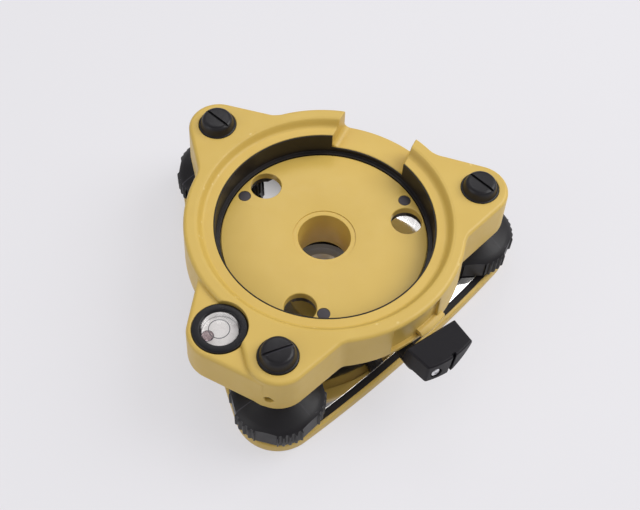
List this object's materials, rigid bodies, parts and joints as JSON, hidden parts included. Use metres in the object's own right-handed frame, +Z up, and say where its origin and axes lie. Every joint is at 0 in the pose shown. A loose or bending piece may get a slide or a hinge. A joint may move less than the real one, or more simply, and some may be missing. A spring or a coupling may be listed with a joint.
{
  "type": "tribrach",
  "caption": "Levelling tribrach with a triangular base plate, thumb-turned foot screws, a round recessed seat, a circular level and a lock lever at the side.",
  "frame": {"origin": "centre of the outer box on the underside of the base plate", "axes": "+Z up along the seat's axis; the front foot screw, between the circular level and the lock lever, points to -Y"},
  "size_m": [0.1428, 0.1334, 0.0502],
  "materials": {
    "yellow_paint": "satin enamel over cast aluminium",
    "turned_steel": "turned",
    "spring_steel": "polished stainless sheet",
    "grey_steel": "dark, lightly oiled",
    "black_plastic": "moulded, satin",
    "blackened_metal": "blackened",
    "turned_brass": "turned",
    "white_plastic": "glossy white",
    "clear_glass": "clear"
  },
  "bodies": {
    "base": {"base_plate": "yellow_paint", "tripod_bush": "turned_steel", "spring_plate": "spring_steel", "spring_plate_screw_1": "turned_steel", "spring_plate_screw_2": "turned_steel", "spring_plate_screw_3": "turned_steel"},
    "foot_1": {"foot_screw_1": "turned_steel", "foot_knob_1": "black_plastic"},
    "foot_2": {"foot_screw_2": "turned_steel", "foot_knob_2": "black_plastic"},
    "foot_3": {"foot_screw_3": "turned_steel", "foot_knob_3": "black_plastic"},
    "upper": {"body_casting": "yellow_paint", "rim_liner": "blackened_metal", "seat_plate": "yellow_paint", "seat_pad_1": "grey_steel", "seat_pad_2": "grey_steel", "seat_pad_3": "grey_steel", "seat_plate_screw_1": "turned_steel", "seat_plate_screw_2": "turned_steel", "seat_plate_screw_3": "turned_steel", "foot_bush_1": "turned_brass", "foot_bush_2": "turned_brass", "foot_bush_3": "turned_brass", "foot_cap_1": "black_plastic", "foot_cap_2": "black_plastic", "foot_cap_3": "black_plastic", "lobe_set_screw_1": "grey_steel", "lobe_set_screw_2": "grey_steel", "lobe_set_screw_3": "grey_steel", "level_case": "black_plastic", "level_disc": "white_plastic", "level_vial": "clear_glass", "lock_retaining_ring": "turned_steel"},
    "lock": {"lock_ring": "grey_steel", "lever_arm": "blackened_metal", "lever_rivet_1": "turned_steel", "lever_rivet_2": "turned_steel", "lever_grip": "black_plastic", "lever_screw": "turned_steel"}
  },
  "joints": [
    {"name": "body_lift", "type": "slide", "parent": "base", "child": "upper", "axis": [0, 0, 1], "range_m": [-0.0025, 0.0025]},
    {"name": "foot_screw_1_turn", "type": "hinge", "parent": "base", "child": "foot_1", "pos_m": [-0.05334, 0.04337, 0.0052], "axis": [0, 0, 1], "range_deg": [-1201, 1201]},
    {"name": "foot_screw_2_turn", "type": "hinge", "parent": "base", "child": "foot_2", "pos_m": [0.05336, 0.04337, 0.0052], "axis": [0, 0, 1], "range_deg": [-1201, 1201]},
    {"name": "foot_screw_3_turn", "type": "hinge", "parent": "base", "child": "foot_3", "pos_m": [0.00001, -0.04903, 0.0052], "axis": [0, 0, 1], "range_deg": [-1201, 1201]},
    {"name": "lock_lever_swing", "type": "hinge", "parent": "upper", "child": "lock", "pos_m": [0.00001, 0.01257, 0.0277], "axis": [0, 0, 1], "range_deg": [0, 16]}
  ],
  "couplings": [
    {"joint": "foot_screw_1_turn", "follows": "body_lift", "rad_per_m": -8377.6},
    {"joint": "foot_screw_2_turn", "follows": "body_lift", "rad_per_m": -8377.6},
    {"joint": "foot_screw_3_turn", "follows": "body_lift", "rad_per_m": -8377.6}
  ]
}
